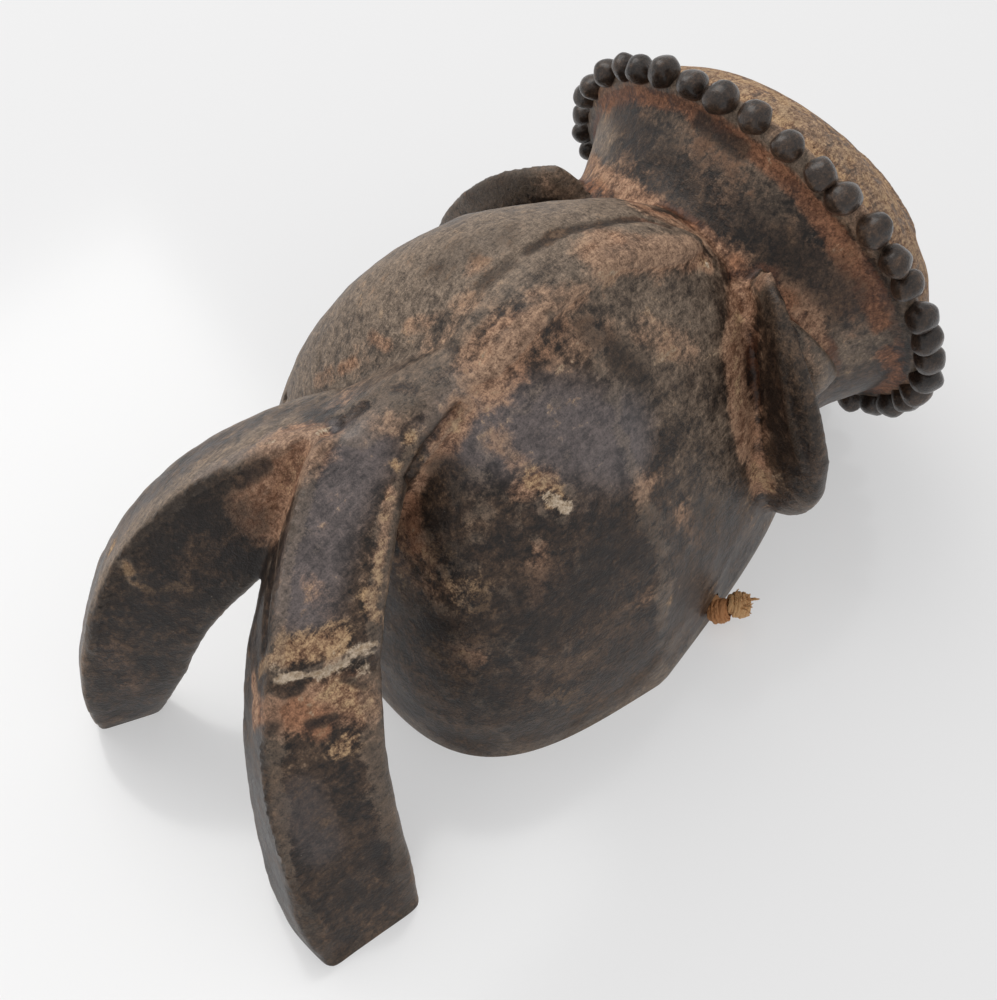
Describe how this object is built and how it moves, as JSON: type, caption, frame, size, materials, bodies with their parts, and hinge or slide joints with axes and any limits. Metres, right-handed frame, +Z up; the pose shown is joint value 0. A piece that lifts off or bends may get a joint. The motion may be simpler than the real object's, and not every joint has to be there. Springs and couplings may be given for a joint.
{
  "type": "helmet mask",
  "caption": "Carved wooden helmet mask: hollow bowl, two swept-back horns, crescent ears and a round face ringed by knobs.",
  "frame": {"origin": "on the ground under the middle of the whole mask, as it lies on its rim and horn tips", "axes": "+Z up, the face looks toward -Y, the horns point toward +Y, the mask's own right side is -X"},
  "size_m": [0.2864, 0.5329, 0.2603],
  "materials": {
    "dark_carved_wood": "dark worn patina with reddish rubbed edges, slightly glossy on the high spots",
    "tan_fibre": "dry twisted plant fibre"
  },
  "bodies": {
    "root": {"mask_body": "dark_carved_wood", "cord_knot": "tan_fibre"}
  },
  "joints": []
}
